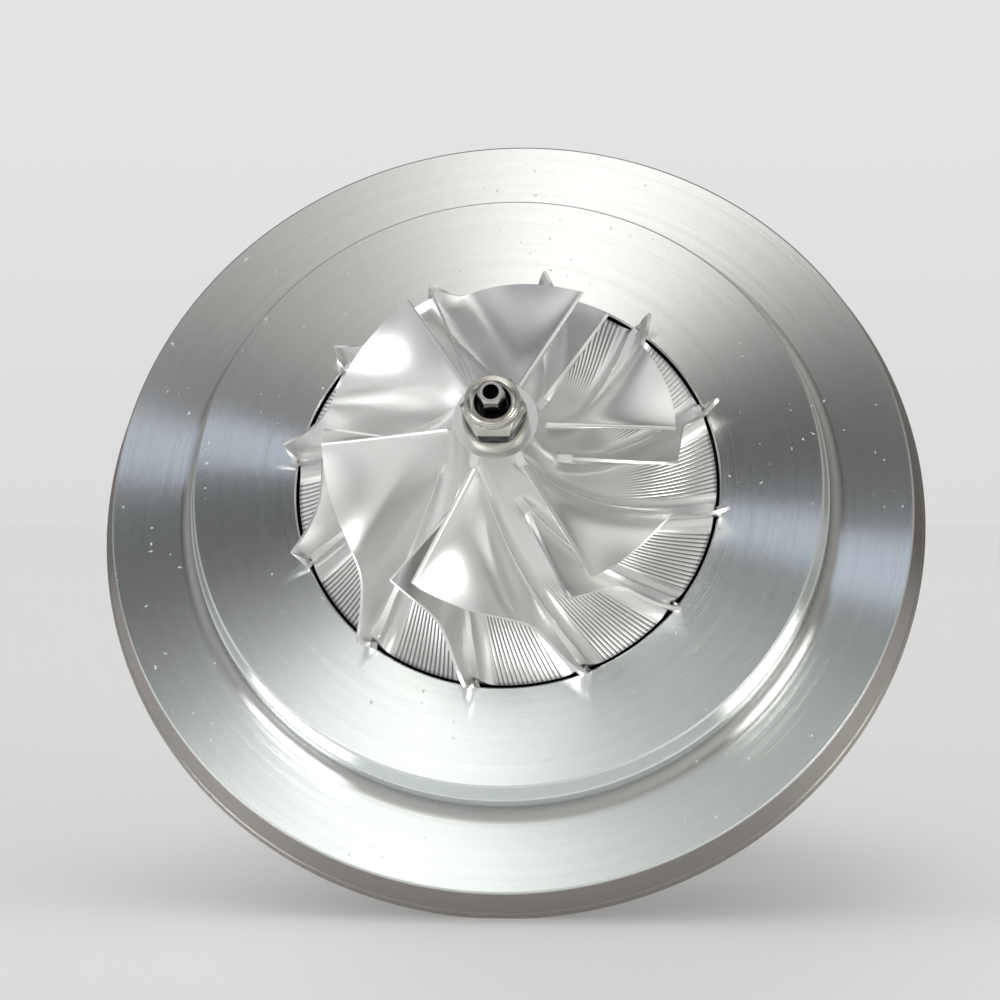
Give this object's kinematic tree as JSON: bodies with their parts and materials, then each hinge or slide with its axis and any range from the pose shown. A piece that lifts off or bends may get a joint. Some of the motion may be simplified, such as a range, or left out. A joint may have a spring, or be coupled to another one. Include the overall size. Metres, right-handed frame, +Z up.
{
  "type": "turbocharger cartridge",
  "caption": "Turbo cartridge: milled compressor wheel and turbine wheel on a shared shaft, carried in a cast bearing housing with oil ports behind a turned aluminium back plate.",
  "frame": {"origin": "on the rotor axis, in the plane of the back plate's front face that the compressor cover seats on", "axes": "-Y along the rotor axis towards the compressor nose, +Z up towards the oil inlet pad, as installed"},
  "size_m": [0.1932, 0.2074, 0.1932],
  "materials": {
    "turned_aluminium": "turned, bright, fine concentric marks",
    "milled_aluminium": "milled, bright satin",
    "cast_iron": "as cast, machined on its faces",
    "nut_steel": "bright steel",
    "shaft_steel": "ground steel",
    "turbine_alloy": "cast nickel alloy, matt",
    "shield_steel": "pressed stainless sheet",
    "ring_iron": "ground",
    "bearing_bronze": "machined bronze",
    "spring_steel": "oiled black",
    "pin_steel": "ground steel",
    "pressed_steel": "pressed sheet",
    "seal_rubber": "moulded rubber",
    "bolt_steel": "black oxide",
    "washer_steel": "hardened, grey"
  },
  "bodies": {
    "housing": {"back_plate": "turned_aluminium", "bearing_housing": "cast_iron", "housing_front_flange": "cast_iron", "housing_turbine_flange": "cast_iron", "housing_ribs": "cast_iron", "oil_inlet_pad": "cast_iron", "oil_drain_pad": "cast_iron", "heat_shield": "shield_steel", "compressor_piston_ring": "ring_iron", "turbine_piston_ring": "ring_iron", "bearing_retaining_rings": "spring_steel", "thrust_bearing": "bearing_bronze", "thrust_bearing_pins": "pin_steel", "oil_deflector": "pressed_steel", "housing_seal_ring": "seal_rubber", "plate_bolts": "bolt_steel", "plate_bolt_washers": "washer_steel", "plate_dowel": "pin_steel", "turbine_locating_pin": "pin_steel"},
    "rotor": {"rotor_shaft": "shaft_steel", "turbine_wheel": "turbine_alloy", "compressor_wheel": "milled_aluminium", "shaft_nut": "nut_steel", "thrust_collar": "shaft_steel", "oil_flinger": "shaft_steel"},
    "front_bush": {"front_journal_bearing": "bearing_bronze"},
    "rear_bush": {"rear_journal_bearing": "bearing_bronze"}
  },
  "joints": [
    {"name": "rotor_spin", "type": "hinge", "parent": "housing", "child": "rotor", "pos_m": [0, 0, 0], "axis": [0, 1, 0], "continuous": true},
    {"name": "front_bush_spin", "type": "hinge", "parent": "housing", "child": "front_bush", "pos_m": [0, 0.03, 0], "axis": [0, 1, 0], "continuous": true},
    {"name": "rear_bush_spin", "type": "hinge", "parent": "housing", "child": "rear_bush", "pos_m": [0, 0.065, 0], "axis": [0, 1, 0], "continuous": true}
  ]
}
